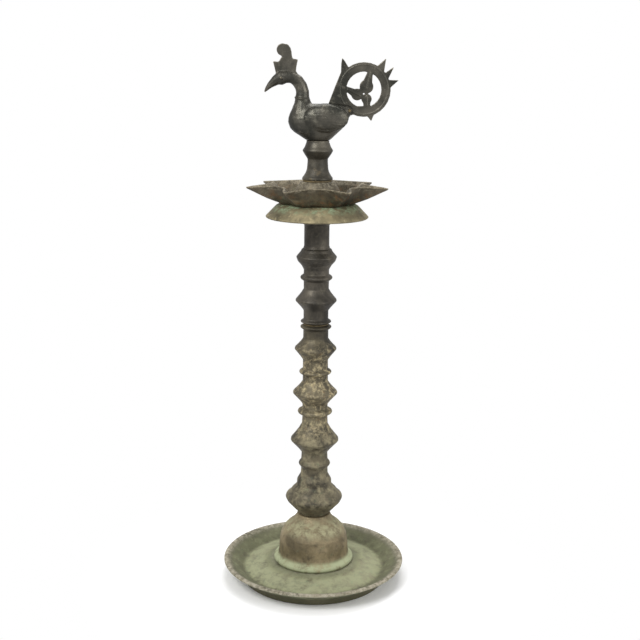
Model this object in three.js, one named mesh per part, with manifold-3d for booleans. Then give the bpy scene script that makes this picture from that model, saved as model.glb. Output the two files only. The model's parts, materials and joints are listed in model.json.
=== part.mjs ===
// A standing oil lamp in cast bronze: a dish on a foot ring, a bell, a turned column in two screwed lengths,
// a drip skirt, a star-shaped oil pan with seven wick spouts, and a bird finial that screws down on the pan.
// Millimetres, +Z up, the origin at the middle of the foot ring on the floor; the bird looks along -X.
import * as THREE from "three";
import { mergeVertices } from "three/addons/utils/BufferGeometryUtils.js";
import Module from "manifold-3d";

const wasm = await Module();
wasm.setup();

// Driving dimensions shared by several castings
const gap = 0.3; // clearance between two castings that touch
const boreClearance = 0.4; // radial clearance of a plain shank in its bore
const shankRadius = 8.5; // plain part of the top stud
const spoutCount = 7;

// Base dish
const footRadius = 91;
const footWall = 4.5;
const footInside = 8; // height of the hollow under the dish
const rimRadius = 114;
const rimHeight = 24;
const rimLip = 4.5; // width of the flat on top of the rim
const rimDepth = 3.2; // thickness of the lip
const creaseRadius = 88; // where the sloping wall meets the dish's floor
const creaseHeight = 12;
const seatRadius = 53; // the flat on the mound that the bell stands on
const seatHeight = 20.5;
const dishWall = 3.4;

// Bell
const bellLipRadius = 50.3;
const bellLipHeight = 7; // thickness of the rolled lip
const bellRadius = 43.2;
const bellWall = 4;
const bellShoulderRadius = 31.4;
const bellHeight = 61.8; // seat to the top face
const bellTopRadius = 20.9;

// Tie bolt, washer and nut that hold the dish and the bell to the column
const boltRadius = 6;
const boltBite = 26; // length screwed up into the column
const boltTail = 2.5; // length showing under the nut
const washerRadius = 17;
const washerThickness = 1.6;
const nutWidth = 20;
const nutThickness = 5.5;

// Column: heights are above the column's own foot
const columnWaist = 15.6; // the slimmest part of the lower length
const upperWaist = 15.2; // the slimmest part of the upper length
const columnFootRadius = 18.4;
const lowerLength = 244.6; // the foot to the joint between the two lengths
const upperLength = 127.2;
const shelfRadius = 21; // the flange under the skirt
const threadDepth = 1.2;
const threadClearance = 0.5;
const jointThread = { major: 9.2, pitch: 4, length: 16 };
const finialThread = { major: 8.4, pitch: 3.5, length: 15.5 };
const jointWasherThickness = 1;
const jointWasherRadius = 15.4;

// Drip skirt
const skirtRadius = 61.8;
const skirtTopRadius = 45.4;
const skirtDrop = 15.2; // top plate to the middle of the rolled edge
const skirtWall = 2.8;
const skirtHub = 19.5;
const skirtHubHeight = 18.2; // column flange to the top plate

// Oil pan
const panTipRadius = 86.3;
const panNotchRadius = 57.5; // the rim between two spouts
const panFootAtSpout = 46;
const panFootAtNotch = 39;
const panDepth = 23.2; // underside to rim between the spouts
const tipDroop = 2.2; // how far a spout's tip lies under that rim
const tipHalfWidth = 2.9;
const spoutSpread = 0.42; // growth of a spout's half width for each unit towards the middle
const panWall = 2.6;
const panFloor = 3.6;
const bossFoot = 34;
const bossTop = 20.3;
const bossHeight = 26.4; // underside of the pan to the top of the boss
const panWasherRadius = 17.2;
const panWasherThickness = 1.4;

// Finial stem
const stemHeight = 46;
const stemFootRadius = 18.4;
const stemWaist = 12.1;
const stemKnop = 18.1;
const stemTopRadius = 13.4;
const tenonRadius = 6;
const tenonLength = 13;

// Bird: heights are above the stem's top
const birdDepth = 19; // half the body's breadth
const wingBreadth = 23.5;
const wing = { x: 9.5, z: 26.5, length: 26.5, height: 16.5, thick: 9 };
const crestThickness = 4.6;
const tailThickness = 5.2;
const slotDepth = 9; // how far the tail's tongue goes into the rump
const pinRadius = 1.5;
const pinLength = 15;
const tailRing = { x: 53, z: 59.3, outer: 31.3, inner: 20.5 };

// Round castings are cut into this many flats
const columnSides = 20;
const bellSides = 32;
const skirtSides = 36;
const dishSides = 40;
const boreSides = 16;

// Heights of the stacked castings, worked out from the sizes above
const bellFoot = seatHeight + gap;
const bellTop = bellFoot + bellHeight;
const columnFoot = bellTop + gap;
const jointHeight = columnFoot + lowerLength;
const upperFoot = jointHeight + jointWasherThickness + 2 * gap;
const shelfHeight = upperFoot + upperLength;
const skirtFoot = shelfHeight + gap;
const skirtTop = skirtFoot + skirtHubHeight;
const panFoot = skirtTop + gap;
const bossHeightAbove = panFoot + bossHeight;
const panWasherFoot = bossHeightAbove + gap;
const stemFoot = panWasherFoot + panWasherThickness + gap;
const stemTop = stemFoot + stemHeight;
const panBore = shankRadius + boreClearance;

const bronzeDark = new THREE.MeshStandardMaterial({ color: 0x3d3f39, roughness: 0.5, metalness: 0.7 });
const bronzeBrown = new THREE.MeshStandardMaterial({ color: 0x4e483b, roughness: 0.6, metalness: 0.6 });
const bronzeOlive = new THREE.MeshStandardMaterial({ color: 0x77745a, roughness: 0.7, metalness: 0.45 });
const bronzeGreen = new THREE.MeshStandardMaterial({ color: 0x6e7c62, roughness: 0.75, metalness: 0.4 });
const ironDark = new THREE.MeshStandardMaterial({ color: 0x35302b, roughness: 0.7, metalness: 0.6 });
const brassWorn = new THREE.MeshStandardMaterial({ color: 0x8a7a4e, roughness: 0.5, metalness: 0.7 });

const lamp = new THREE.Group();

function place(name, geometry, material, x = 0, y = 0, z = 0) {
  const mesh = new THREE.Mesh(geometry, material);
  mesh.name = name;
  mesh.position.set(x, y, z);
  lamp.add(mesh);
}

// A closed solid of revolution about Z from a closed loop of [radius, height] points
function turned(profile, sides) {
  const points = profile.map(([radius, height]) => new THREE.Vector2(radius, height));
  points.push(points[0].clone());
  return outward(new THREE.LatheGeometry(points, sides).rotateX(Math.PI / 2));
}

function solidOf(geometry) {
  const bare = geometry.clone();
  bare.deleteAttribute("normal");
  bare.deleteAttribute("uv");
  const merged = mergeVertices(bare, 1e-4);
  const triVerts = new Uint32Array(merged.index.array);
  return new wasm.Manifold(
    new wasm.Mesh({ numProp: 3, vertProperties: merged.attributes.position.array, triVerts }),
  );
}

function geometryOf(solid) {
  const mesh = solid.getMesh();
  const vertices = new Float32Array(mesh.numVert * 3);
  for (let i = 0; i < mesh.numVert; i++) {
    vertices.set(mesh.vertProperties.subarray(i * mesh.numProp, i * mesh.numProp + 3), i * 3);
  }
  const geometry = new THREE.BufferGeometry();
  geometry.setAttribute("position", new THREE.BufferAttribute(vertices, 3));
  geometry.setIndex(new THREE.BufferAttribute(new Uint32Array(mesh.triVerts), 1));
  geometry.computeVertexNormals();
  return geometry;
}

function signedVolume(geometry) {
  const flat = geometry.index ? geometry.toNonIndexed() : geometry;
  const position = flat.attributes.position;
  const [a, b, c] = [new THREE.Vector3(), new THREE.Vector3(), new THREE.Vector3()];
  let volume = 0;
  for (let i = 0; i < position.count; i += 3) {
    a.fromBufferAttribute(position, i);
    b.fromBufferAttribute(position, i + 1);
    c.fromBufferAttribute(position, i + 2);
    volume += a.dot(b.cross(c)) / 6;
  }
  return volume;
}

// The same geometry with its faces pointing out
function outward(geometry) {
  if (signedVolume(geometry) > 0) return geometry;
  const index = geometry.index.array;
  for (let i = 0; i < index.length; i += 3) [index[i + 1], index[i + 2]] = [index[i + 2], index[i + 1]];
  return geometry;
}

// A closed skin over rings of points: each ring joins the next, and the ends close on themselves or on each other
function skin(rings, closedLoop) {
  const sides = rings[0].length;
  const vertices = rings.flat(2);
  const index = [];
  const joins = closedLoop ? rings.length : rings.length - 1;
  for (let j = 0; j < joins; j++) {
    const next = (j + 1) % rings.length;
    for (let i = 0; i < sides; i++) {
      const [a, b] = [j * sides + i, j * sides + ((i + 1) % sides)];
      const [c, d] = [next * sides + i, next * sides + ((i + 1) % sides)];
      index.push(a, b, d, a, d, c);
    }
  }
  if (!closedLoop) {
    const last = (rings.length - 1) * sides;
    for (let i = 1; i < sides - 1; i++) {
      index.push(0, i + 1, i);
      index.push(last, last + i, last + i + 1);
    }
  }
  const geometry = new THREE.BufferGeometry();
  geometry.setAttribute("position", new THREE.Float32BufferAttribute(vertices, 3));
  geometry.setIndex(index);
  return outward(geometry);
}

// Bead and knop mouldings, as [radius, height] points from bottom to top

function bead(at, reach, half, waist) {
  return [
    [waist, at - half],
    [reach - 0.9, at - half * 0.4],
    [reach, at],
    [reach - 0.9, at + half * 0.4],
    [waist, at + half],
  ];
}

function knop(at, reach, rise, fall, waist) {
  const overhang = reach - waist;
  return [
    [waist, at - fall],
    [waist + overhang * 0.3, at - fall * 0.68],
    [waist + overhang * 0.72, at - fall * 0.3],
    [reach, at - fall * 0.06],
    [reach - 0.3, at + rise * 0.08],
    [waist + overhang * 0.66, at + rise * 0.34],
    [waist + overhang * 0.28, at + rise * 0.68],
    [waist + overhang * 0.1, at + rise * 0.9],
    [waist, at + rise],
  ];
}

// A screw thread on the Z axis from 0 to length, right-handed, with a taper into each end left to its neighbours
function threadSolid(major, pitch, length, sides) {
  const minor = major - threadDepth;
  const crest = [minor, minor, major, major];
  const step = pitch / crest.length;
  const turns = Math.ceil(length / pitch) + 2;
  const rows = turns * crest.length;
  const vertices = [];
  for (let row = 0; row <= rows + crest.length; row++) {
    for (let i = 0; i < sides; i++) {
      const angle = (2 * Math.PI * i) / sides;
      const radius = crest[row % crest.length];
      const height = row * step + (pitch * i) / sides - 1.5 * pitch;
      vertices.push(radius * Math.cos(angle), radius * Math.sin(angle), height);
    }
  }
  const at = (row, i) => (i === sides ? (row + crest.length) * sides : row * sides + i);
  const index = [];
  for (let row = 0; row < rows; row++) {
    for (let i = 0; i < sides; i++) {
      index.push(at(row, i), at(row, i + 1), at(row + 1, i + 1));
      index.push(at(row, i), at(row + 1, i + 1), at(row + 1, i));
    }
  }
  const foot = vertices.length / 3;
  vertices.push(0, 0, -1.5 * pitch + pitch / 2);
  vertices.push(0, 0, rows * step - pitch);
  const edge = (row) => {
    const loop = Array.from({ length: sides + 1 }, (_, i) => at(row, i));
    for (let k = crest.length - 1; k > 0; k--) loop.push(at(row + k, 0));
    return loop;
  };
  const [low, high] = [edge(0), edge(rows)];
  low.forEach((v, i) => index.push(foot, low[(i + 1) % low.length], v));
  high.forEach((v, i) => index.push(foot + 1, v, high[(i + 1) % high.length]));
  const geometry = new THREE.BufferGeometry();
  geometry.setAttribute("position", new THREE.Float32BufferAttribute(vertices, 3));
  geometry.setIndex(index);
  const bound = turned(
    [
      [0, 0],
      [major + 1, 0],
      [major + 1, length],
      [0, length],
    ],
    sides,
  );
  return solidOf(outward(geometry)).intersect(solidOf(bound));
}

function threadHole(thread, depth) {
  return threadSolid(thread.major + threadClearance, thread.pitch, depth, boreSides);
}

// A plain cylinder on the Z axis
function rod(radius, foot, top, sides = boreSides) {
  return turned(
    [
      [0, foot],
      [radius, foot],
      [radius, top],
      [0, top],
    ],
    sides,
  );
}

function baseDish() {
  const bore = boltRadius + boreClearance;
  const under = footInside;
  return turned(
    [
      [bore, under],
      [footRadius - footWall - 5, under],
      [footRadius - footWall, under - 3],
      [footRadius - footWall, 0],
      [footRadius, 0],
      [footRadius + 0.6, under - 1.5],
      [footRadius + 3, under + 1],
      [rimRadius - rimLip - 2, rimHeight - rimDepth - 2],
      [rimRadius - 0.6, rimHeight - rimDepth],
      [rimRadius, rimHeight - rimDepth / 2],
      [rimRadius - 0.6, rimHeight - 0.3],
      [rimRadius - rimLip, rimHeight],
      [rimRadius - rimLip - 2.4, rimHeight - 1.8],
      [creaseRadius + 7, creaseHeight + 3.6],
      [creaseRadius + 2, creaseHeight],
      [creaseRadius - 1.5, creaseHeight],
      [creaseRadius - 8, creaseHeight + 2.2],
      [seatRadius + 12, seatHeight - 2.4],
      [seatRadius, seatHeight],
      [bore, seatHeight],
    ],
    dishSides,
  );
}

function bell() {
  const bore = boltRadius + boreClearance;
  const lip = bellLipRadius;
  const inner = bellRadius - bellWall;
  return turned(
    [
      [inner, 0],
      [lip - 1.8, 0],
      [lip, bellLipHeight * 0.36],
      [lip - 0.6, bellLipHeight * 0.7],
      [lip - 3, bellLipHeight],
      [bellRadius + 1.4, bellLipHeight + 2],
      [bellRadius + 0.3, bellHeight * 0.25],
      [bellRadius, bellHeight * 0.4],
      [bellRadius - 1.8, bellHeight * 0.575],
      [bellRadius - 5.8, bellHeight * 0.7],
      [bellShoulderRadius + 2, bellHeight * 0.77],
      [bellShoulderRadius, bellHeight * 0.8],
      [bellShoulderRadius - 2, bellHeight * 0.818],
      [bellTopRadius + 4.6, bellHeight * 0.875],
      [bellTopRadius + 1, bellHeight * 0.95],
      [bellTopRadius, bellHeight],
      [bore, bellHeight],
      [bore, bellHeight - bellWall * 2],
      [bellTopRadius + 2, bellHeight * 0.78],
      [inner - 7, bellHeight * 0.66],
      [inner - 1.6, bellHeight * 0.5],
    ],
    bellSides,
  );
}

// The lower length of the column, from its foot on the bell to the middle of the double bead
function columnLower() {
  const waist = columnWaist;
  const profile = [
    [boltRadius + boreClearance, 0],
    [columnFootRadius, 0],
    [columnFootRadius + 3.2, 4],
    [24.6, 7.2],
    [33.4, 16.6],
    [35.4, 20.6],
    [35.8, 22.2],
    [34.6, 25],
    [30.6, 28],
    [27.8, 32.2],
    [24, 35.8],
    [21.8, 38.6],
    [21.4, 45],
    [19, 49.2],
    [17, 53],
    ...bead(66.2, 19.9, 5, waist + 1),
    ...knop(97.6, 29.8, 20.4, 16.4, waist + 0.5),
    ...bead(134, 21.6, 4.8, waist),
    ...knop(158.6, 27.5, 14.4, 14.6, waist + 0.1),
    ...bead(184.9, 20.1, 4, waist),
    ...knop(214.6, 25.7, 12.6, 14.4, upperWaist + 0.2),
    [upperWaist + 0.2, lowerLength - 6.4],
    [19, lowerLength - 3.6],
    [19.1, lowerLength - 2],
    [jointWasherRadius, lowerLength],
    [0, lowerLength],
    [0, boltBite + 1],
    [boltRadius + boreClearance, boltBite + 1],
  ];
  const thread = threadSolid(jointThread.major, jointThread.pitch, jointThread.length + 1, boreSides);
  return geometryOf(solidOf(turned(profile, columnSides)).add(thread.translate([0, 0, lowerLength - 1])));
}

// The upper length, from the double bead to the flange that carries the skirt
function columnUpper() {
  const waist = upperWaist;
  const studBore = shankRadius + boreClearance;
  const profile = [
    [0, 0],
    [jointWasherRadius, 0],
    [18.8, 1.6],
    [18.7, 3],
    [waist, 5.4],
    ...knop(28.6, 25.1, 14, 12.4, waist),
    ...bead(56.6, 19.7, 4.2, waist + 0.2),
    [waist + 0.2, 66.6],
    [18.4, 72],
    [22.8, 76.8],
    [24.6, 81.6],
    [24, 82.8],
    [19.6, 88],
    [17.9, 91.4],
    [16.4, 91.8],
    [waist, 95.6],
    [waist, upperLength - 6.4],
    [17.4, upperLength - 5],
    [18, upperLength - 3],
    [shelfRadius, upperLength - 1.4],
    [shelfRadius, upperLength],
    [studBore, upperLength],
    [studBore, upperLength - studBite],
    [0, upperLength - studBite],
  ];
  const threadFoot = -1 - jointWasherThickness - 2 * gap; // in step with the thread on the lower length
  const hole = threadHole(jointThread, jointThread.length + 4).translate([0, 0, threadFoot]);
  return geometryOf(solidOf(turned(profile, columnSides)).subtract(hole));
}

// The stud fixed in the top of the column, threaded where the finial screws on
const studBite = 20;

function topStud() {
  const foot = shelfHeight - studBite + gap;
  const threadFoot = stemFoot + 1.2;
  const shank = solidOf(rod(shankRadius, foot, threadFoot));
  const thread = threadSolid(finialThread.major, finialThread.pitch, finialThread.length + 1, boreSides);
  return geometryOf(shank.add(thread.translate([0, 0, threadFoot - 1])));
}

function dripSkirt() {
  const bore = shankRadius + boreClearance;
  const top = skirtHubHeight;
  const edge = top - skirtDrop;
  return turned(
    [
      [bore, 0],
      [skirtHub, 0],
      [skirtHub, top - skirtWall - 2],
      [skirtTopRadius - skirtWall - 2, top - skirtWall - 1],
      [skirtTopRadius + 5, edge + 4.6],
      [skirtRadius - 6, edge - 0.4],
      [skirtRadius - 2, edge - 1.6],
      [skirtRadius, edge],
      [skirtRadius - 1.2, edge + 1.5],
      [skirtTopRadius + 11.4, edge + 5.4],
      [skirtTopRadius + 7, edge + 10],
      [skirtTopRadius + 3.6, edge + 13.4],
      [skirtTopRadius, top],
      [bore, top],
    ],
    skirtSides,
  );
}

// Half the plan of one spout at an angle from its axis: a blunt wedge that fades into the round bowl
function panEdge(offAxis, inset) {
  const tip = panTipRadius - inset;
  const half = Math.max(tipHalfWidth - inset * 0.6, 0.8);
  const wedge = (half + spoutSpread * tip) / (Math.sin(offAxis) + spoutSpread);
  const spout = Math.min(wedge, tip / Math.cos(offAxis));
  const bowl = panNotchRadius - inset;
  const sharpness = 16;
  return Math.min((spout ** sharpness + bowl ** sharpness) ** (1 / sharpness), tip);
}

function oilPan() {
  const perSpout = 10;
  const sides = spoutCount * perSpout;
  const pitch = (2 * Math.PI) / spoutCount;
  const edgeAt = (angle) => {
    const off = Math.abs(angle - pitch * Math.round(angle / pitch));
    const lobe = Math.cos((off / pitch) * 2 * Math.PI) * 0.5 + 0.5; // 1 on a spout's axis, 0 between two
    return { off, lobe };
  };
  const ring = (radiusOf, heightOf) =>
    Array.from({ length: sides }, (_, i) => {
      const angle = (2 * Math.PI * i) / sides;
      const { off, lobe } = edgeAt(angle);
      const [radius, height] = [radiusOf(off, lobe), heightOf(off, lobe)];
      const turn = angle + Math.PI / 2; // one spout points along +Y, away from the viewer
      return [radius * Math.cos(turn), radius * Math.sin(turn), height];
    });
  const foot = (lobe) => panFootAtNotch + (panFootAtSpout - panFootAtNotch) * lobe;
  const share = (off) => (panEdge(off, 0) - panNotchRadius) / (panTipRadius - panNotchRadius);
  const rim = (off) => panDepth - tipDroop * Math.max(share(off), 0);
  const between = (low, high, t) => low + (high - low) * t;
  const lip = 1.6;
  const bore = panBore;
  const floorEdge = (lobe) => foot(lobe) - panWall + 1;
  const rings = [
    ring(() => bore, () => 0),
    ring((off, lobe) => foot(lobe) - 1.5, () => 0),
    ring((off, lobe) => foot(lobe) + 0.5, () => 1.6),
    ring((off, lobe) => between(foot(lobe), panEdge(off, lip), 0.42), (off) => rim(off) * 0.36),
    ring((off, lobe) => between(foot(lobe), panEdge(off, lip), 0.8), (off) => rim(off) * 0.7),
    ring((off) => panEdge(off, lip), (off) => rim(off) - 2.6),
    ring((off) => panEdge(off, 0), (off) => rim(off) - 1.6),
    ring((off) => panEdge(off, 0), rim),
    ring((off) => panEdge(off, panWall), rim),
    ring((off, lobe) => between(floorEdge(lobe), panEdge(off, panWall + 1), 0.72), (off) => rim(off) * 0.7 + 2),
    ring((off, lobe) => between(floorEdge(lobe), panEdge(off, panWall + 1), 0.34), (off) => rim(off) * 0.32 + 2.6),
    ring((off, lobe) => Math.max(floorEdge(lobe) - 1.5, bossFoot + 1), () => panFloor),
    ring(() => bossFoot, () => panFloor),
    ring(() => bossTop + 1, () => bossHeight - 1.4),
    ring(() => bossTop, () => bossHeight),
    ring(() => bore, () => bossHeight),
  ];
  return skin(rings, true);
}

function finialStem() {
  const profile = [
    [0, 0],
    [stemFootRadius, 0],
    [stemFootRadius - 0.3, 2.6],
    [stemFootRadius - 2, 4.6],
    [stemWaist + 2, 8.6],
    [stemWaist + 0.7, 12.6],
    [stemWaist, 21],
    [stemWaist + 0.1, 24.6],
    [stemWaist + 1.4, 26.6],
    [stemKnop - 2.4, 29.8],
    [stemKnop - 0.2, 33.6],
    [stemKnop, 34.8],
    [stemKnop - 2.4, 38.4],
    [stemTopRadius + 0.8, 42.4],
    [stemTopRadius, 44.4],
    [stemTopRadius + 0.4, stemHeight],
    [0, stemHeight],
  ];
  const socket = threadHole(finialThread, finialThread.length + 2.5).translate([0, 0, 0.2]);
  const relief = solidOf(rod(shankRadius + boreClearance, -1, 2));
  const mortise = solidOf(rod(tenonRadius + boreClearance, stemHeight - tenonLength - gap, stemHeight + 1));
  return geometryOf(
    solidOf(turned(profile, columnSides)).subtract(socket).subtract(relief).subtract(mortise),
  );
}

// Rings of an upright oval body: each row is [height, least x, greatest x, half breadth]
function ovalStack(rows, sides) {
  return skin(
    rows.map(([height, left, right, breadth]) =>
      Array.from({ length: sides }, (_, i) => {
        const angle = (2 * Math.PI * i) / sides;
        const middle = (left + right) / 2;
        return [middle + ((right - left) / 2) * Math.cos(angle), breadth * Math.sin(angle), height];
      }),
    ),
    false,
  );
}

// Rings square to a bent spine in the XZ plane: each row is [x, z, half height, half breadth]
function spineLoft(rows, sides) {
  const rings = rows.map(([x, z, half, breadth], i) => {
    const before = rows[Math.max(i - 1, 0)];
    const after = rows[Math.min(i + 1, rows.length - 1)];
    const along = Math.atan2(after[1] - before[1], after[0] - before[0]);
    return Array.from({ length: sides }, (_, k) => {
      const angle = (2 * Math.PI * k) / sides;
      const across = half * Math.cos(angle);
      return [x - across * Math.sin(along), breadth * Math.sin(angle), z + across * Math.cos(along)];
    });
  });
  return skin(rings, false);
}

// A flat plate in the XZ plane, cut from a shape, centred on y = 0
function plate(shape, thickness, curveSegments = 8) {
  const geometry = new THREE.ExtrudeGeometry(shape, { depth: thickness, bevelEnabled: false, curveSegments });
  return solidOf(geometry.translate(0, 0, -thickness / 2).rotateX(Math.PI / 2));
}

function polygon(points) {
  return new THREE.Shape(points.map(([x, z]) => new THREE.Vector2(x, z)));
}

function crestPlate() {
  const crown = polygon([
    [-49.5, 76],
    [-50.8, 81],
    [-52, 86],
    [-53.2, 90.4],
    [-46.6, 89.9],
    [-43.4, 95],
    [-31, 96.6],
    [-30.4, 93.6],
    [-24.2, 92.8],
    [-25.8, 85],
    [-26.4, 79.6],
    [-24, 76],
  ]);
  const curl = new THREE.Shape();
  curl.absarc(-42, 103.6, 7.1, 0, 2 * Math.PI);
  const back = polygon([
    [-43, 94],
    [-31, 94],
    [-31.6, 101],
    [-32.8, 105.6],
    [-36, 109.6],
    [-42, 110.6],
    [-40, 100],
  ]);
  return plate(crown, crestThickness).add(plate(curl, crestThickness)).add(plate(back, crestThickness));
}

function birdBody() {
  const body = ovalStack(
    [
      [0.4, -13.8, 13.8, 13],
      [2.4, -16.9, 16.2, 14.2],
      [4.8, -20.6, 18.8, 15.4],
      [9.6, -28.3, 23.9, 17.2],
      [14, -32.8, 28.6, 18.4],
      [21, -35.3, 32.5, birdDepth],
      [26, -35, 35.4, birdDepth],
      [31, -33.4, 39.9, birdDepth - 0.6],
      [36, -31, 41.6, birdDepth - 2.4],
      [40, -29.6, 40, birdDepth - 6],
      [42.4, -28.4, 34, birdDepth - 11],
    ],
    24,
  );
  const neck = spineLoft(
    [
      [-17.6, 30, 15, 14.5],
      [-17.6, 38, 12.4, 12.4],
      [-18.4, 44, 9.8, 9.6],
      [-18.7, 50, 8.2, 8],
      [-18.5, 56, 7.7, 7.4],
      [-20.4, 62.4, 7.4, 7],
      [-24.6, 68.4, 7.3, 6.8],
      [-30.6, 72.2, 6.9, 6.6],
      [-37.6, 72.8, 7.1, 7],
      [-44.6, 71.2, 8.2, 7.4],
      [-50, 68.6, 5.9, 5.4],
      [-56.6, 63.2, 3.7, 3.2],
      [-60.4, 58.9, 2.3, 2],
      [-63, 55.2, 0.8, 0.8],
    ],
    14,
  );
  const side = (sign) => {
    const shell = new THREE.SphereGeometry(1, 18, 12).scale(wing.length, wing.thick, wing.height);
    return solidOf(shell.translate(wing.x, sign * (wingBreadth - wing.thick), wing.z));
  };
  const tenon = solidOf(rod(tenonRadius, -tenonLength, 2));
  const pinHole = solidOf(pinRod(pinRadius + gap, 2 * wingBreadth + 4));
  return geometryOf(
    solidOf(body)
      .add(solidOf(neck))
      .add(side(1))
      .add(side(-1))
      .add(crestPlate())
      .add(tenon)
      .subtract(tailOutline(gap))
      .subtract(pinHole),
  );
}

// Tail: an openwork ring with thorns, on two arms, with a tongue let into the rump

const rump = 41.6;
const pinPlace = { x: 36.6, z: 35 };

function pinRod(radius, length) {
  return new THREE.CylinderGeometry(radius, radius, length, 12).translate(pinPlace.x, 0, pinPlace.z);
}

// A thorn on the ring: its foot spreads over an arc about the foot angle, and its tip is a point
function thorn(footAngle, spread, tipX, tipZ) {
  const reach = tailRing.outer - 2;
  const corner = (angle) => [
    tailRing.x + reach * Math.cos(angle),
    tailRing.z + reach * Math.sin(angle),
  ];
  return polygon([corner(footAngle - spread), [tipX, tipZ], corner(footAngle + spread)]);
}

// A leaf of the trefoil: a stalk from the ring that swells to a round lobe
function leaf(stalkX, stalkZ, lobeX, lobeZ, lobeRadius, stalkHalf) {
  const along = Math.atan2(lobeZ - stalkZ, lobeX - stalkX);
  const stalk = polygon([
    [stalkX - stalkHalf * Math.sin(along), stalkZ + stalkHalf * Math.cos(along)],
    [stalkX + stalkHalf * Math.sin(along), stalkZ - stalkHalf * Math.cos(along)],
    [lobeX + lobeRadius * 0.8 * Math.sin(along), lobeZ - lobeRadius * 0.8 * Math.cos(along)],
    [lobeX - lobeRadius * 0.8 * Math.sin(along), lobeZ + lobeRadius * 0.8 * Math.cos(along)],
  ]);
  const lobe = new THREE.Shape();
  lobe.absarc(lobeX, lobeZ, lobeRadius, 0, 2 * Math.PI);
  return [stalk, lobe];
}

// The tail's solid, grown by a margin in thickness and outline where it is used to cut its slot
function tailOutline(margin) {
  const thickness = tailThickness + 2 * margin;
  const ring = new THREE.Shape();
  ring.absarc(tailRing.x, tailRing.z, tailRing.outer + margin, 0, 2 * Math.PI);
  const opening = new THREE.Path();
  opening.absarc(tailRing.x, tailRing.z, tailRing.inner - margin, 0, 2 * Math.PI, true);
  ring.holes.push(opening);
  const frontArm = polygon([
    [12 - margin, 43 + margin],
    [19.4 - margin, 62.6],
    [26 - margin, 79],
    [26.2, 89],
    [27.2, 95],
    [30.4, 91.4],
    [35, 84],
    [33.4, 66],
    [31.8, 60],
    [36.4, 41.6 + margin],
    [36.4, 40 - margin],
    [22, 38 - margin],
    [18, 36 - margin],
    [14 - margin, 36 - margin],
  ]);
  const lowerArm = polygon([
    [rump - slotDepth - margin, 30 - margin],
    [38, 29.4 - margin],
    [44.8, 31.8 - margin],
    [51, 32.2 - margin],
    [56.4, 30],
    [62.3, 23.2],
    [65.6, 31.6],
    [72.2, 38.8],
    [60, 41],
    [52, 40.4 + margin],
    [37.6, 40 + margin],
    [rump - slotDepth - margin, 40 + margin],
  ]);
  const parts = [
    ring,
    frontArm,
    lowerArm,
    thorn(0.88, 0.2, 78.2, 95),
    thorn(0.52, 0.15, 87.6, 85.6),
    thorn(0.22, 0.18, 93.4, 70.4),
    ...leaf(60.6, 81.4, 56, 62.8, 8, 2.6),
    ...leaf(31.2, 60.8, 45.2, 53.6, 6.8, 2.4),
    ...leaf(57, 38.6, 56.4, 48.6, 6, 3.6),
  ];
  return parts.map((shape) => plate(shape, thickness, 14)).reduce((whole, piece) => whole.add(piece));
}

function tailPlate() {
  const pinHole = solidOf(pinRod(pinRadius + gap, 2 * tailThickness));
  return geometryOf(tailOutline(0).subtract(pinHole));
}

function squareNut() {
  const half = nutWidth / 2;
  const corner = 2;
  const outline = polygon([
    [-half + corner, -half],
    [half - corner, -half],
    [half, -half + corner],
    [half, half - corner],
    [half - corner, half],
    [-half + corner, half],
    [-half, half - corner],
    [-half, -half + corner],
  ]);
  const hole = new THREE.Path();
  hole.absarc(0, 0, boltRadius + gap, 0, 2 * Math.PI, true);
  outline.holes.push(hole);
  return new THREE.ExtrudeGeometry(outline, { depth: nutThickness, bevelEnabled: false, curveSegments: 12 });
}

function flatWasher(radius, bore, thickness) {
  return turned(
    [
      [bore, 0],
      [radius, 0],
      [radius, thickness],
      [bore, thickness],
    ],
    columnSides,
  );
}

// The nut is let into the hollow under the dish, so it stays clear of the floor
const washerFoot = footInside - gap - washerThickness;
const nutFoot = washerFoot - gap - nutThickness;

place("base_dish", baseDish(), bronzeGreen);
place("bell_foot", bell(), bronzeOlive, 0, 0, bellFoot);
place("tie_bolt", rod(boltRadius, Math.max(nutFoot - boltTail, 0.4), columnFoot + boltBite), ironDark);
place("tie_washer", flatWasher(washerRadius, boltRadius + boreClearance, washerThickness), ironDark, 0, 0, washerFoot);
place("tie_nut", squareNut(), ironDark, 0, 0, nutFoot);
place("column_lower", columnLower(), bronzeBrown, 0, 0, columnFoot);
const jointWasherBore = jointThread.major + threadClearance + gap;
place(
  "joint_washer",
  flatWasher(jointWasherRadius, jointWasherBore, jointWasherThickness),
  brassWorn,
  0,
  0,
  jointHeight + gap,
);
place("column_upper", columnUpper(), bronzeDark, 0, 0, upperFoot);
place("top_stud", topStud(), bronzeDark);
place("drip_skirt", dripSkirt(), bronzeOlive, 0, 0, skirtFoot);
place("oil_pan", oilPan(), bronzeBrown, 0, 0, panFoot);
place("pan_washer", flatWasher(panWasherRadius, panBore, panWasherThickness), brassWorn, 0, 0, panWasherFoot);
place("finial_stem", finialStem(), bronzeDark, 0, 0, stemFoot);
place("bird", birdBody(), bronzeDark, 0, 0, stemTop);
place("bird_tail", tailPlate(), bronzeDark, 0, 0, stemTop);
place("tail_pin", pinRod(pinRadius, pinLength), brassWorn, 0, 0, stemTop);

export default lamp;
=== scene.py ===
# %% [markdown]
# # A standing bronze oil lamp
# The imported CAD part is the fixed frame. Every casting that shows gets a fine surface made from its
# CAD node, with rounded edges and a slightly uneven hand-cast wall, and a patina that changes with height.
# Lengths are in metres, +Z is up, and the bird looks along -X.

# %% Load the frame
import json
import math

import bmesh
import bpy
from mathutils import Euler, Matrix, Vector, noise


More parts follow.
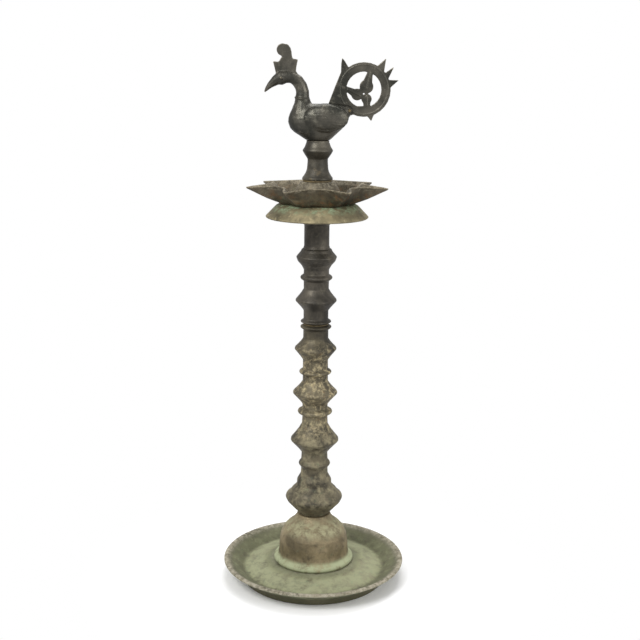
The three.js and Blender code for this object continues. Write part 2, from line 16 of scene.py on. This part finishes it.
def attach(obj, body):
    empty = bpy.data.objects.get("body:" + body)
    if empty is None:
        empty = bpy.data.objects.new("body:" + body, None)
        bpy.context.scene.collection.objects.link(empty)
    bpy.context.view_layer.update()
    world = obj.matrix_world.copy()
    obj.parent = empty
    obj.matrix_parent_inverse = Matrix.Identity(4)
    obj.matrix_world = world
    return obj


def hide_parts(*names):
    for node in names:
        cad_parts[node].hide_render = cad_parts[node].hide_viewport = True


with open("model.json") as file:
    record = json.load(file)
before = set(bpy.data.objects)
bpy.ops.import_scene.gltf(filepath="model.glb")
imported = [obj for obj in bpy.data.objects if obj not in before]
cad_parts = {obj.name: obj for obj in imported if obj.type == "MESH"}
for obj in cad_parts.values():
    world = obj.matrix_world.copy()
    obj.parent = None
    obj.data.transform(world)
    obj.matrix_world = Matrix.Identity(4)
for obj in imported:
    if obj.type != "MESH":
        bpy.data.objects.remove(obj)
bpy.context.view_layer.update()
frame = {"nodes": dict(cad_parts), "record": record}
scene = bpy.context.scene
mm = 0.001

# %% [markdown]
# ## Sizes
# A turned casting is spun in many more steps than its CAD node has. The voxel size is for castings that
# aren't round: the pan, the bird and its tail.

# %% Sizes
spin_steps = 144
voxel = 0.75 * mm
fillet = 0.45 * mm  # longest cut along an edge
fillet_rounds = 2
wobble = 0.3 * mm
wobble_scale = 38  # waves of the slow noise in a metre
axis_tolerance = 0.02 * mm
node_body = {node: body for body, nodes in frame["record"]["behaviour"]["bodies"].items() for node in nodes}
print("spin steps", spin_steps, "voxel", voxel)

# %% [markdown]
# ## Materials
# The patina is built in layers: an oxide brown with dark pools, green corrosion that gathers in a band of
# heights, pale flaking dust in another band, and worn metal on the edges, lighter there partly as a painted
# highlight. The hollows are darkened as painted shade. Each layer has its own noise.

# %% Shader helpers


class Shader:
    """A material's node tree, with short calls for the nodes that the patina uses."""

    def __init__(self, name):
        self.material = bpy.data.materials.new(name)
        self.material.use_nodes = True
        self.tree = self.material.node_tree
        self.bsdf = self.tree.nodes["Principled BSDF"]
        self.point = self.node("ShaderNodeTexCoord").outputs["Object"]

    def node(self, kind, **values):
        made = self.tree.nodes.new(kind)
        for key, value in values.items():
            setattr(made, key, value)
        return made

    def set(self, socket, value):
        if isinstance(value, bpy.types.NodeSocket):
            self.tree.links.new(value, socket)
        else:
            socket.default_value = value

    def noise(self, scale, detail=4, roughness=0.6, warp=0.0):
        made = self.node("ShaderNodeTexNoise")
        self.set(made.inputs["Vector"], self.point)
        self.set(made.inputs["Scale"], scale)
        self.set(made.inputs["Detail"], detail)
        self.set(made.inputs["Roughness"], roughness)
        self.set(made.inputs["Distortion"], warp)
        return made.outputs["Fac"]

    def remap(self, value, low, high, to_low=0.0, to_high=1.0):
        made = self.node("ShaderNodeMapRange", interpolation_type="SMOOTHSTEP")
        for key, number in (("From Min", low), ("From Max", high), ("To Min", to_low), ("To Max", to_high)):
            self.set(made.inputs[key], number)
        self.set(made.inputs["Value"], value)
        return made.outputs["Result"]

    def math(self, operation, a, b):
        made = self.node("ShaderNodeMath", operation=operation)
        self.set(made.inputs[0], a)
        self.set(made.inputs[1], b)
        return made.outputs[0]

    def mix(self, factor, a, b):
        made = self.node("ShaderNodeMix", data_type="RGBA")
        self.set(made.inputs["Factor"], factor)
        self.set(made.inputs["A"], a)
        self.set(made.inputs["B"], b)
        return made.outputs["Result"]

    def height(self):
        made = self.node("ShaderNodeSeparateXYZ")
        self.set(made.inputs[0], self.point)
        return made.outputs["Z"]

    def band(self, low, high, soft):
        """1 between two heights in millimetres, fading out over a soft margin."""
        z = self.height()
        rise = self.remap(z, (low - soft) * mm, (low + soft) * mm)
        fall = self.remap(z, (high - soft) * mm, (high + soft) * mm, 1.0, 0.0)
        return self.math("MULTIPLY", rise, fall)

    def ring(self, low, high, soft):
        """1 between two distances from the lamp's axis in millimetres, fading out over a soft margin."""
        flat = self.node("ShaderNodeVectorMath", operation="MULTIPLY")
        self.set(flat.inputs[0], self.point)
        self.set(flat.inputs[1], (1, 1, 0))
        out = self.node("ShaderNodeVectorMath", operation="LENGTH")
        self.set(out.inputs[0], flat.outputs[0])
        rise = self.remap(out.outputs["Value"], (low - soft) * mm, (low + soft) * mm)
        fall = self.remap(out.outputs["Value"], (high - soft) * mm, (high + soft) * mm, 1.0, 0.0)
        return self.math("MULTIPLY", rise, fall)

    def bump(self, height, strength, distance, below=None):
        made = self.node("ShaderNodeBump")
        self.set(made.inputs["Strength"], strength)
        self.set(made.inputs["Distance"], distance)
        self.set(made.inputs["Height"], height)
        if below is not None:
            self.set(made.inputs["Normal"], below)
        return made.outputs["Normal"]


def rgb(red, green, blue):
    """A colour from its 0-255 screen values."""
    linear = (((v / 255 + 0.055) / 1.055) ** 2.4 if v > 10 else v / 255 / 12.92 for v in (red, green, blue))
    return (*linear, 1.0)


# The dark of the oxide stains, also used for the painted shade in the hollows.
oxide_and_shade_black = rgb(30, 29, 27)
copper_green = rgb(104, 124, 96)
pale_dust = rgb(190, 176, 138)
rust_ochre = rgb(122, 86, 48)
# The colour of worn metal, also used as a painted highlight on the edges.
worn_metal_and_highlight = rgb(150, 138, 112)

# %% The patina


def patina(name, metal, pool, layers=(), rings=(), rough=0.48, metallic=0.75, wear_and_highlight=0.5):
    """Bronze under layers, each (colour, low, high, soft, cover): heights in mm, and a cover from 0 to 1.

    A ring is the same, with distances from the lamp's axis in place of heights.
    """
    s = Shader(name)
    broad = s.noise(22, 6, 0.62, 0.4)
    middle = s.noise(95, 8, 0.68, 0.2)
    fine = s.noise(620, 5, 0.7)
    colour = s.mix(s.remap(broad, 0.36, 0.66), pool, metal)
    stain = s.math("MULTIPLY", s.remap(middle, 0.42, 0.75), 0.55)
    colour = s.mix(stain, colour, oxide_and_shade_black)
    matt = s.math("MULTIPLY", s.remap(middle, 0.35, 0.7), 0.3)
    for k, (tint, low, high, soft, cover) in enumerate(layers):
        patch = s.noise(85 + 47 * k, 10, 0.76, 0.12)
        threshold = 0.74 - 0.42 * cover
        spread = s.remap(patch, threshold - 0.11, threshold + 0.11)
        mask = s.math("MULTIPLY", spread, s.band(low, high, soft))
        colour = s.mix(mask, colour, tint)
        matt = s.math("MAXIMUM", matt, mask)
    for tint, low, high, soft, cover in rings:
        mask = s.math("MULTIPLY", s.remap(middle, 0.3, 0.55, cover * 0.6, cover), s.ring(low, high, soft))
        colour = s.mix(mask, colour, tint)
    edge = s.node("ShaderNodeNewGeometry").outputs["Pointiness"]
    # Worn metal on the rims and edges, where the surface curves outward. It is lighter, so it is partly a
    # painted highlight too.
    rubbed_and_highlight = s.math("MULTIPLY", s.remap(edge, 0.515, 0.6), s.remap(fine, 0.35, 0.6, 0.3, 1.0))
    rubbed_and_highlight = s.math("MULTIPLY", rubbed_and_highlight, wear_and_highlight)
    # Painted shade: the hollows, where the surface curves inward, are darkened towards oxide black.
    hollow_shade = s.remap(edge, 0.42, 0.492, 0.75, 0.0)
    colour = s.mix(hollow_shade, colour, oxide_and_shade_black)
    colour = s.mix(rubbed_and_highlight, colour, worn_metal_and_highlight)
    s.set(s.bsdf.inputs["Base Color"], colour)
    lost = s.math("MULTIPLY", matt, metallic * 0.85)
    s.set(s.bsdf.inputs["Metallic"], s.math("SUBTRACT", metallic, lost))
    grain = s.math("ADD", matt, s.math("MULTIPLY", fine, 0.4))
    s.set(s.bsdf.inputs["Roughness"], s.remap(grain, 0.0, 1.3, rough, 0.92))
    pits = s.bump(fine, 0.35, 0.25 * mm)
    lumps = s.bump(middle, 0.5, 0.7 * mm, pits)
    s.set(s.bsdf.inputs["Normal"], s.bump(matt, 0.35, 0.4 * mm, lumps))
    return s.material


materials = {
    "bird": patina(
        "bird_bronze", rgb(104, 100, 90), rgb(60, 60, 54), [(rgb(116, 112, 98), 548, 662, 10, 0.25)],
        rough=0.3, metallic=0.85, wear_and_highlight=1.0,
    ),
    "stem": patina(
        "stem_bronze", rgb(106, 101, 89), rgb(64, 61, 53), [(rgb(112, 98, 72), 500, 520, 6, 0.3)],
        rough=0.38, wear_and_highlight=0.7,
    ),
    "pan": patina(
        "pan_bronze", rgb(132, 122, 101), rgb(74, 68, 55),
        [
            (rust_ochre, 470, 492, 6, 0.35),
            (rgb(98, 110, 84), 474, 488, 5, 0.3),
            (rgb(150, 142, 122), 494, 503, 2, 0.45),
        ],
        wear_and_highlight=1.0,
    ),
    "skirt": patina(
        "skirt_bronze", rgb(158, 147, 114), rgb(112, 104, 78),
        [(pale_dust, 455, 470, 5, 0.3), (rgb(134, 152, 120), 468, 479, 3, 0.5)], rough=0.55, metallic=0.5,
    ),
    "upper": patina(
        "upper_bronze", rgb(102, 96, 85), rgb(58, 55, 49), [(rgb(118, 112, 92), 320, 440, 30, 0.22)],
        rough=0.4, wear_and_highlight=0.9,
    ),
    "lower": patina(
        "lower_bronze", rgb(112, 104, 84), rgb(60, 56, 46),
        [
            (rgb(136, 128, 102), 80, 225, 40, 0.5),
            (copper_green, 84, 170, 20, 0.22),
            (pale_dust, 190, 300, 16, 0.42),
            (rgb(150, 112, 62), 195, 300, 14, 0.2),
        ],
        rough=0.46, metallic=0.6, wear_and_highlight=0.8,
    ),
    "bell": patina(
        "bell_bronze", rgb(158, 143, 111), rgb(108, 97, 72),
        [
            (rgb(160, 166, 132), 18, 31, 3, 0.75),
            (rgb(158, 154, 122), 62, 78, 5, 0.6),
            (copper_green, 34, 62, 6, 0.18),
        ],
        rough=0.48, metallic=0.5,
    ),
    "dish": patina(
        "dish_bronze", rgb(124, 116, 94), rgb(86, 82, 62),
        [
            (rgb(138, 140, 108), 8, 21, 3, 0.7),
            (copper_green, 9, 23, 3, 0.25),
            (rgb(166, 160, 142), 20.5, 25, 1.5, 0.6),
        ],
        [
            (rgb(84, 84, 62), 87, 107, 3, 0.75),
            (rgb(112, 116, 88), 50, 58, 4, 0.6),
            (rgb(160, 162, 132), 62, 84, 5, 0.35),
        ],
        rough=0.5, metallic=0.5, wear_and_highlight=0.6,
    ),
    "washer": patina("washer_brass", rgb(150, 128, 76), rgb(96, 80, 50), rough=0.45),
    "iron": patina(
        "fastener_iron", rgb(70, 62, 54), rgb(46, 38, 32), [(rust_ochre, 0, 90, 5, 0.7)], rough=0.65,
    ),
}
print("materials", len(materials))

# %% [markdown]
# ## Turned castings
# A round casting's outline is read from its CAD node, in the half plane where y is 0 and x is positive.
# Corners get a fillet, the outline is spun, and a slow noise pulls the wall in a little, as on a casting
# that was filed by hand.

# %% Outlines


def half_plane(node):
    """The node's vertices in the half plane, as {index: (radius, height)}, and the edges among them."""
    work = bmesh.new()
    work.from_mesh(frame["nodes"][node].data)
    bmesh.ops.remove_doubles(work, verts=work.verts, dist=2e-6)
    work.verts.index_update()
    flat = {v.index: (v.co.x, v.co.z) for v in work.verts if abs(v.co.y) < axis_tolerance and v.co.x > 0}
    beside = {index: [] for index in flat}
    for edge in work.edges:
        a, b = (v.index for v in edge.verts)
        if a in flat and b in flat:
            beside[a].append(b)
            beside[b].append(a)
    work.free()
    return flat, beside


def closed_outline(node):
    """The node's cut face as a closed loop, walked edge by edge, and straight across a flat face."""
    flat, beside = half_plane(node)
    here = min(flat, key=lambda n: flat[n])
    left = set(flat)
    loop = []
    while left:
        left.discard(here)
        loop.append(flat[here])
        level = [n for n in left if abs(flat[n][1] - flat[here][1]) < axis_tolerance]
        ahead = [n for n in beside[here] if n in left] or level
        if not ahead:
            break
        here = min(ahead, key=lambda n: abs(flat[n][0] - flat[here][0]) + abs(flat[n][1] - flat[here][1]))
    return loop


def outer_outline(node, least):
    """The outside of a node that is higher at each step, as (radius, height) from bottom to top."""
    found = {(round(r, 6), round(z, 6)) for r, z in half_plane(node)[0].values() if r > least}
    return sorted(found, key=lambda p: p[1])


def filleted(loop, rounds=fillet_rounds):
    """The loop with each corner cut, by a quarter of its edges or by the fillet, whichever is less."""
    for _ in range(rounds):
        cut = []
        for i, here in enumerate(loop):
            here = Vector(here)
            if here.x < axis_tolerance:
                cut.append(tuple(here))
                continue
            for other in (Vector(loop[i - 1]), Vector(loop[(i + 1) % len(loop)])):
                reach = (other - here).length
                cut.append(tuple(here + (other - here) * min(0.25, fillet / max(reach, 1e-9))))
        loop = cut
    return loop


# %% Spinning


def spun(name, loop, uneven=1.0):
    """A mesh object from a closed outline spun about Z, its wall drawn in by a slow noise."""
    vertices, faces = [], []
    for i in range(spin_steps):
        angle = 2 * math.pi * i / spin_steps
        for radius, z in loop:
            outward = Vector((math.cos(angle), math.sin(angle), 0)) * radius
            pull = wobble * uneven * max(noise.noise((outward + Vector((0, 0, z))) * wobble_scale), 0)
            pull = min(pull, radius * 0.2)
            vertices.append((*(outward * (1 - pull / max(radius, mm))).xy, z))
    count = len(loop)
    for i in range(spin_steps):
        for j in range(count):
            a, b = i * count + j, i * count + (j + 1) % count
            c, d = ((i + 1) % spin_steps) * count + (j + 1) % count, ((i + 1) % spin_steps) * count + j
            faces.append((a, b, c, d))
    return finished(name, vertices, faces)


def finished(name, vertices, faces):
    mesh = bpy.data.meshes.new(name)
    mesh.from_pydata(vertices, [], faces)
    piece = bpy.data.objects.new(name, mesh)
    scene.collection.objects.link(piece)
    return tidied(piece)


def tidied(piece):
    """Merges doubled points, turns the faces outward and shades them smooth."""
    work = bmesh.new()
    work.from_mesh(piece.data)
    bmesh.ops.remove_doubles(work, verts=work.verts, dist=1e-6)
    bmesh.ops.dissolve_degenerate(work, edges=work.edges, dist=1e-7)
    bmesh.ops.recalc_face_normals(work, faces=work.faces)
    for face in work.faces:
        face.smooth = True
    work.to_mesh(piece.data)
    work.free()
    return piece


def dress(piece, node, look):
    piece.data.materials.clear()
    piece.data.materials.append(materials[look])
    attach(piece, node_body[node])
    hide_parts(node)


# %% The turned castings
for node, look in (("base_dish", "dish"), ("bell_foot", "bell"), ("drip_skirt", "skirt")):
    dress(spun(node + "_cast", filleted(closed_outline(node))), node, look)

bore_edge = 11 * mm  # outside every bore, and inside every waist
bolt_bore = (6.4 * mm, 27 * mm)
thread_bore = (9.8 * mm, 17.6 * mm)
stud_bore = (8.9 * mm, 20 * mm)
socket_bore = (9.1 * mm, 18.2 * mm)
tenon_bore = (6.4 * mm, 13.4 * mm)


def bored(node, below, above):
    """A column casting: its outside from the node, and a bore (radius, depth) let into either end."""
    outline = outer_outline(node, bore_edge)
    foot, top = outline[0][1], outline[-1][1]
    inside = []
    if above:
        radius, depth = above
        inside += [(radius, top), (radius, top - depth)]
        inside.append((0, top - depth))
    else:
        inside.append((0, top))
    if below:
        radius, depth = below
        inside += [(0, foot + depth), (radius, foot + depth), (radius, foot)]
    else:
        inside.append((0, foot))
    return filleted(outline + inside)


lower = spun("column_lower_cast", bored("column_lower", bolt_bore, None))
upper = spun("column_upper_cast", bored("column_upper", thread_bore, stud_bore))
stem = spun("finial_stem_cast", bored("finial_stem", socket_bore, tenon_bore))
print("turned castings", 3, "bored castings", len((lower, upper, stem)))

# %% [markdown]
# ## The thread between the two lengths of the column
# It shows when the upper length is unscrewed, so it is made here as a helix on the lower casting.

# %% The thread
thread_pitch = 4 * mm
thread_crest = 9.2 * mm
thread_root = 8 * mm
thread_length = 15.9 * mm


def thread(name, foot):
    """A right-handed thread: a height grid whose radius follows the helix, flat at each end."""
    rows, sides = 64, 32
    vertices, faces = [], []
    for row in range(rows + 1):
        z = foot + thread_length * row / rows
        for i in range(sides):
            turn = i / sides
            phase = ((z - foot) / thread_pitch - turn) % 1
            fall = min(max(abs(phase - 0.5) * 4 - 0.5, 0), 1)  # 0 on the crest and 1 in the root
            radius = thread_root + (thread_crest - thread_root) * (1 - fall)
            angle = 2 * math.pi * turn
            vertices.append((radius * math.cos(angle), radius * math.sin(angle), z))
    for row in range(rows):
        for i in range(sides):
            a, b = row * sides + i, row * sides + (i + 1) % sides
            faces.append((a, b, b + sides, a + sides))
    faces.append(tuple(range(sides)))
    faces.append(tuple(range(rows * sides, (rows + 1) * sides)))
    return finished(name, vertices, faces)


def joined(first, *others):
    """One object from several, by a call of Blender's own join."""
    bpy.ops.object.select_all(action="DESELECT")
    for piece in (first, *others):
        piece.select_set(True)
    bpy.context.view_layer.objects.active = first
    bpy.ops.object.join()
    return first


column_top = max(z for _, z in outer_outline("column_lower", bore_edge))
dress(joined(lower, thread("joint_thread", column_top)), "column_lower", "lower")
dress(upper, "column_upper", "upper")
dress(stem, "finial_stem", "stem")
print("column joint at", round(column_top / mm, 1))

# %% [markdown]
# ## Castings that aren't round
# The pan, the bird and its tail are remeshed from their CAD nodes at the voxel size, with raised details
# added first: the wing's rim and feathers, the eye, the collar, and the veins of the tail's leaves.

# %% Cast surfaces


def copied(node, name):
    piece = bpy.data.objects.new(name, frame["nodes"][node].data.copy())
    scene.collection.objects.link(piece)
    return piece


def strand(name, points, radius):
    """A round raised line through points, as a mesh."""
    curve = bpy.data.curves.new(name, "CURVE")
    curve.dimensions = "3D"
    curve.bevel_depth = radius
    curve.bevel_resolution = 2
    curve.use_fill_caps = True
    spline = curve.splines.new("NURBS")
    spline.points.add(len(points) - 1)
    for spot, point in zip(spline.points, points):
        spot.co = (*point, 1)
    spline.use_endpoint_u = True
    spline.order_u = 3
    made = bpy.data.objects.new(name, curve)
    scene.collection.objects.link(made)
    bpy.context.view_layer.update()
    mesh = bpy.data.meshes.new_from_object(made.evaluated_get(bpy.context.evaluated_depsgraph_get()))
    bpy.data.objects.remove(made)
    piece = bpy.data.objects.new(name, mesh)
    scene.collection.objects.link(piece)
    return piece


def ball(name, centre, radii):
    bpy.ops.mesh.primitive_uv_sphere_add(segments=24, ring_count=16, location=centre)
    piece = bpy.context.object
    piece.name = name
    piece.scale = radii
    bpy.ops.object.transform_apply(location=True, rotation=True, scale=True)
    return piece


def cast_from(node, name, details=(), smoothing=4, size=voxel):
    """The node's copy and its details as one skin: voxel remeshed, then smoothed."""
    piece = joined(copied(node, name), *details) if details else copied(node, name)
    bpy.context.view_layer.objects.active = piece
    remesh = piece.modifiers.new("skin", "REMESH")
    remesh.mode = "VOXEL"
    remesh.voxel_size = size
    smooth = piece.modifiers.new("soften", "SMOOTH")
    smooth.iterations = smoothing
    smooth.factor = 0.5
    bpy.context.view_layer.update()
    mesh = bpy.data.meshes.new_from_object(piece.evaluated_get(bpy.context.evaluated_depsgraph_get()))
    piece.modifiers.clear()
    piece.data = mesh
    return tidied(piece)


# %% Bird details
lowest_thorn = 23.2 * mm  # above the stem's top, which the bird's own heights start from
bird_foot = min(v.co.z for v in frame["nodes"]["bird_tail"].data.vertices) - lowest_thorn
wing_at = (9.5, 26.5)
wing_half = (26.5, 16.5)
wing_bulge = 9
body_half_breadth = 23.5
feather_count = 5
eye_place = (-43.5, 6.9, 71.6)
eye_size = (2.2 * mm, 1.9 * mm, 2.2 * mm)
collar_place = (-18.7, 48)
collar_half = (8.5, 8.3)
collar_slope = 1.4


def on_bird(x, y, z):
    return Vector((x * mm, y * mm, bird_foot + z * mm))


def wing_point(share_along, share_up, side, lift=0.0):
    """A point on the wing's shell at shares of its length and height from its middle."""
    depth = math.sqrt(max(1 - share_along**2 - share_up**2, 0))
    return on_bird(
        wing_at[0] + wing_half[0] * share_along,
        side * (body_half_breadth - wing_bulge + wing_bulge * depth + lift),
        wing_at[1] + wing_half[1] * share_up,
    )


bird_details = []
for side in (-1, 1):
    rim_angles = (math.pi * (0.95 + k / 9) for k in range(10))
    rim = [wing_point(0.93 * math.cos(a), 0.9 * math.sin(a), side, -0.6) for a in rim_angles]
    bird_details.append(strand("wing_rim", rim, 1.1 * mm))
    for k in range(feather_count):
        start = -0.55 + 0.2 * k
        feather = [
            wing_point(start + 0.42 * t, 0.42 - 0.2 * k + 0.05 * math.sin(3 * t) - 0.1 * t, side, -0.35)
            for t in (0, 0.5, 1)
        ]
        bird_details.append(strand("feather", feather, 0.8 * mm))
    bird_details.append(ball("eye", on_bird(eye_place[0], side * eye_place[1], eye_place[2]), eye_size))
    mouth = [on_bird(x, side * y, z) for x, y, z in ((-48, 5.2, 67.4), (-54, 3.2, 63.4), (-59, 1.9, 59.4))]
    bird_details.append(strand("mouth", mouth, 0.7 * mm))
collar = [
    on_bird(
        collar_place[0] + collar_half[0] * math.cos(a),
        collar_half[1] * math.sin(a),
        collar_place[1] - collar_slope * math.cos(a),
    )
    for a in (math.pi * k / 12 for k in range(25))
]
bird_details.append(strand("collar", collar, 1 * mm))
dress(cast_from("bird", "bird_cast", bird_details, 3), "bird", "bird")
print("bird details", len(bird_details))

# %% Tail details and the pan
tail_half = 2.6
ring_middle = (53, 59.3)
ring_half = (28.2, 28.6)
veins = []
leaves = (((60.6, 79), (56, 60)), ((34, 59.4), (49, 52)), ((57, 40.5), (56.4, 52)))
for side in (-1, 1):
    for (x0, z0), (x1, z1) in leaves:
        ends = [on_bird(x, side * tail_half, z) for x, z in ((x0, z0), (x1, z1))]
        veins.append(strand("vein", ends, 0.7 * mm))
    edge = [
        on_bird(
            ring_middle[0] + ring_half[0] * math.cos(a),
            side * tail_half,
            ring_middle[1] + ring_half[1] * math.sin(a),
        )
        for a in (2 * math.pi * k / 32 for k in range(33))
    ]
    veins.append(strand("ring_bead", edge, 0.55 * mm))
dress(cast_from("bird_tail", "bird_tail_cast", veins, 2, voxel * 0.8), "bird_tail", "bird")
dress(cast_from("oil_pan", "oil_pan_cast", (), 3), "oil_pan", "pan")
print("tail details", len(veins))

# %% [markdown]
# ## Small fittings
# The washers, the bolt, the nut, the stud and the pin keep their CAD shape, with a bevel on their edges.

# %% Fittings
fittings = {
    "joint_washer": "washer", "pan_washer": "washer", "tail_pin": "washer", "top_stud": "upper",
    "tie_bolt": "iron", "tie_washer": "iron", "tie_nut": "iron",
}
for node, look in fittings.items():
    piece = frame["nodes"][node]
    piece.data.materials.clear()
    piece.data.materials.append(materials[look])
    bevel = piece.modifiers.new("edges", "BEVEL")
    bevel.width = 0.25 * mm
    bevel.segments = 2
    bevel.limit_method = "ANGLE"
print("fittings", len(fittings))

# %% [markdown]
# ## Stage
# The lamp stands on a pale floor under soft lights. The floor fades out around it, so the camera sees the
# white world there, while metal sees grey card.

# %% Floor, world and lights
bpy.ops.mesh.primitive_plane_add(size=2, location=(0, 0, -0.0004))
floor = bpy.context.object
floor.name = "floor"
floor_look = Shader("floor_paper")
floor_look.set(floor_look.bsdf.inputs["Base Color"], rgb(252, 252, 252))
floor_look.set(floor_look.bsdf.inputs["Roughness"], 0.95)
away = floor_look.node("ShaderNodeVectorMath", operation="LENGTH")
floor_look.set(away.inputs[0], floor_look.point)
fade = floor_look.node("ShaderNodeMixShader")
clear = floor_look.node("ShaderNodeBsdfTransparent")
floor_look.set(fade.inputs[0], floor_look.remap(away.outputs["Value"], 0.12, 0.3))
floor_look.tree.links.new(floor_look.bsdf.outputs[0], fade.inputs[1])
floor_look.tree.links.new(clear.outputs[0], fade.inputs[2])
floor_look.tree.links.new(fade.outputs[0], floor_look.tree.nodes["Material Output"].inputs["Surface"])
floor.data.materials.append(floor_look.material)

world = bpy.data.worlds.new("studio")
world.use_nodes = True
scene.world = world
tree = world.node_tree
background = tree.nodes["Background"]
ray = tree.nodes.new("ShaderNodeLightPath")
shade = tree.nodes.new("ShaderNodeMix")
shade.data_type = "RGBA"
shade.inputs["A"].default_value = (0.62, 0.62, 0.63, 1)
shade.inputs["B"].default_value = (1, 1, 1, 1)
tree.links.new(ray.outputs["Is Camera Ray"], shade.inputs["Factor"])
tree.links.new(shade.outputs["Result"], background.inputs["Color"])
background.inputs["Strength"].default_value = 1.0


def lamp_at(name, place, towards, size, power):
    light = bpy.data.lights.new(name, "AREA")
    light.size = size
    light.energy = power
    made = bpy.data.objects.new(name, light)
    made.location = place
    made.rotation_euler = (Vector(towards) - Vector(place)).to_track_quat("-Z", "Y").to_euler()
    scene.collection.objects.link(made)
    return made


middle = (0, 0, 0.33)
lights = [
    lamp_at("key", (-0.9, -1.1, 1.5), middle, 0.8, 22),
    lamp_at("fill", (1.3, -0.9, 0.9), middle, 1.0, 10),
    lamp_at("top", (0.1, 0.5, 1.7), middle, 1.0, 14),
]
print("lights", len(lights))

# %% Camera
camera_data = bpy.data.cameras.new("camera")
camera_data.lens = 62.34  # fitted to the photograph, like the camera's place and its two angles
camera_data.sensor_width = 36
camera = bpy.data.objects.new("camera", camera_data)
camera.location = (0.005, -1.3214, 0.6289)
camera_pitch = 12.64
camera_roll = 0.68
camera.rotation_euler = Euler((math.radians(90 - camera_pitch), 0, 0))
camera.rotation_euler.rotate_axis("Z", math.radians(camera_roll))
scene.collection.objects.link(camera)
scene.camera = camera
scene.view_settings.view_transform = "Standard"
print("camera", [round(v, 4) for v in camera.location])

# %% [markdown]
# ## Finish
# The visual model stays within the CAD model's box. This last step only updates the view layer.

# %% Finish
bpy.context.view_layer.update()
